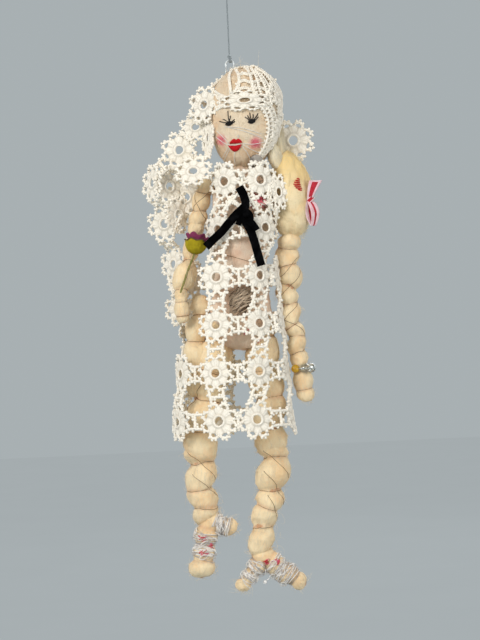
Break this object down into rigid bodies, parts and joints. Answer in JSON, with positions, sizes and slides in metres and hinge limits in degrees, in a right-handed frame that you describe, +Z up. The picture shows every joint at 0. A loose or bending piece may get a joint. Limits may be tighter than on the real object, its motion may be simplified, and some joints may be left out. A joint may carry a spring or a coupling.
{
  "type": "doily doll",
  "caption": "Hanging doll of thread-bound wool over a wire armature, with a puffed sleeve, posable arms and legs, and a dress and veil of crocheted daisy lace.",
  "frame": {"origin": "inside top of the cord's tied loop, where a nail or hook holds it", "axes": "+Z up along the cord, the doll faces -Y, +X is the doll's left"},
  "size_m": [0.1429, 0.0778, 0.4988],
  "materials": {
    "cord": "twisted grey cotton",
    "wire": "bare craft wire",
    "wool": "cream wool roving",
    "golden_wool": "golden wool roving",
    "brown_wool": "golden-brown wool",
    "black_thread": "black embroidery thread",
    "red_thread": "red embroidery thread",
    "gauze": "white thread",
    "lace": "crocheted white cotton",
    "velvet": "black velvet",
    "crimson": "red ribbon with pale edges",
    "olive_felt": "olive felt",
    "mauve_felt": "mauve felt",
    "amber": "amber bead",
    "clear_glass": "clear bead",
    "silver": "silver button",
    "pin": "white pin head on a short shaft"
  },
  "bodies": {
    "hanger": {"cord_loop": "cord", "hanging_cord": "cord"},
    "swivel": {"cord_tie": "cord"},
    "body": {"wire_hook": "wire", "head": "wool", "right_eye": "black_thread", "left_eye": "black_thread", "lips": "red_thread", "hair_lock": "golden_wool", "veil": "lace", "neck": "wool", "torso": "wool", "spine_wire": "wire", "brooch": "silver", "waist_tuft": "brown_wool", "dress_front": "lace", "dress_back": "lace", "ribbon_knot": "velvet", "ribbon_upper_end": "velvet", "ribbon_left_tail": "velvet", "ribbon_right_tail": "velvet", "right_upper_arm": "wool", "right_upper_arm_wire": "wire"},
    "left_upper": {"left_upper_arm": "golden_wool", "left_upper_arm_wire": "wire", "bow_knot": "crimson", "bow_tail": "crimson", "bow_loop": "crimson"},
    "left_fore": {"left_forearm": "wool", "left_forearm_wire": "wire", "left_hand": "wool", "bracelet_thread": "gauze", "bead_amber": "amber", "bead_clear_front": "clear_glass", "bead_clear_side": "clear_glass"},
    "right_fore": {"right_forearm": "wool", "right_forearm_wire": "wire", "right_hand": "wool", "flower_cup": "olive_felt", "flower_petals": "mauve_felt", "flower_stem": "olive_felt"},
    "left_leg": {"left_thigh": "wool", "left_thigh_wire": "wire"},
    "left_lower_leg": {"left_shin": "wool", "left_shin_wire": "wire", "left_foot": "wool", "left_slipper": "gauze", "shoe_pin": "pin"},
    "right_leg": {"right_thigh": "wool", "right_thigh_wire": "wire"},
    "right_lower_leg": {"right_shin": "wool", "right_shin_wire": "wire", "right_foot": "wool", "right_slipper": "gauze"}
  },
  "joints": [
    {"name": "doll_turn", "type": "hinge", "parent": "hanger", "child": "swivel", "pos_m": [0, 0, -0.0668], "axis": [0, 0, 1], "range_deg": [-180, 180]},
    {"name": "doll_swing", "type": "hinge", "parent": "swivel", "child": "body", "pos_m": [0, 0, -0.07275], "axis": [0, 1, 0], "range_deg": [-30, 30]},
    {"name": "left_shoulder", "type": "hinge", "parent": "body", "child": "left_upper", "pos_m": [0.03743, 0.004, -0.16135], "axis": [0, -1, 0], "range_deg": [0, 60]},
    {"name": "left_elbow", "type": "hinge", "parent": "left_upper", "child": "left_fore", "pos_m": [0.04103, 0.004, -0.21435], "axis": [-1, 0, 0], "range_deg": [0, 40]},
    {"name": "right_elbow", "type": "hinge", "parent": "body", "child": "right_fore", "pos_m": [-0.03252, 0.004, -0.20075], "axis": [-1, 0, 0], "range_deg": [0, 40]},
    {"name": "left_hip", "type": "hinge", "parent": "body", "child": "left_leg", "pos_m": [0.01362, 0, -0.28235], "axis": [-1, 0, 0], "range_deg": [-5, 5]},
    {"name": "left_knee", "type": "hinge", "parent": "left_leg", "child": "left_lower_leg", "pos_m": [0.01962, 0, -0.39035], "axis": [1, 0, 0], "range_deg": [0, 40]},
    {"name": "right_hip", "type": "hinge", "parent": "body", "child": "right_leg", "pos_m": [-0.01638, 0, -0.28235], "axis": [-1, 0, 0], "range_deg": [-5, 5]},
    {"name": "right_knee", "type": "hinge", "parent": "right_leg", "child": "right_lower_leg", "pos_m": [-0.03738, 0, -0.39035], "axis": [1, 0, 0], "range_deg": [0, 40]}
  ]
}
